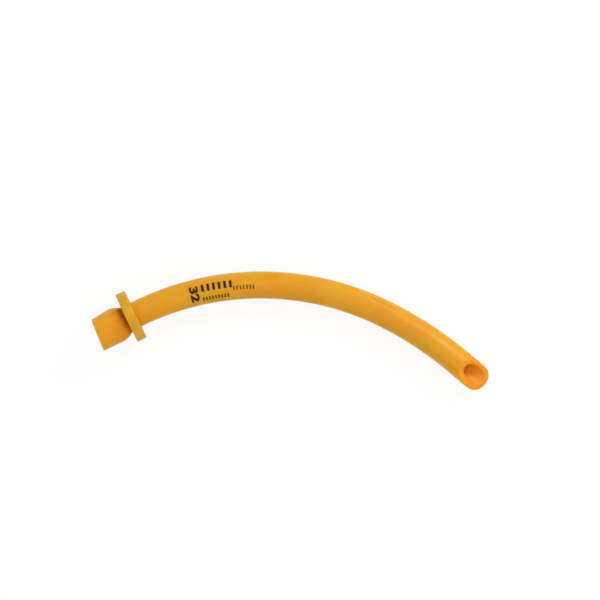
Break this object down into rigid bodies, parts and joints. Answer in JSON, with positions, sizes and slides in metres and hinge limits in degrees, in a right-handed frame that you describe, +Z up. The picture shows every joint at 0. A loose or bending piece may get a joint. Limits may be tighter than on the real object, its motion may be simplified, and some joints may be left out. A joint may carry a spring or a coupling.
{
  "type": "nasopharyngeal airway",
  "caption": "Curved soft rubber nasal airway tube with a wider socket end, a sliding round flange and a slanted open tip.",
  "frame": {"origin": "centre of the base of the bounding box, on the surface that the airway lies on", "axes": "+X along the longest extent from the socket towards the slanted tip, +Y towards the outside of the bend, +Z up, the way the slanted tip opens"},
  "size_m": [0.155, 0.0462, 0.0206],
  "materials": {
    "amber_latex": "satin",
    "olive_rubber": "satin"
  },
  "bodies": {
    "airway": {"airway_tube": "amber_latex"},
    "flange": {"flange_disc": "olive_rubber"}
  },
  "joints": [
    {"name": "flange_slide", "type": "hinge", "parent": "airway", "child": "flange", "pos_m": [-0.01075, -0.09106, 0.01862], "axis": [-0.0484, -0.1113, -0.9926], "range_deg": [0, 53]}
  ]
}
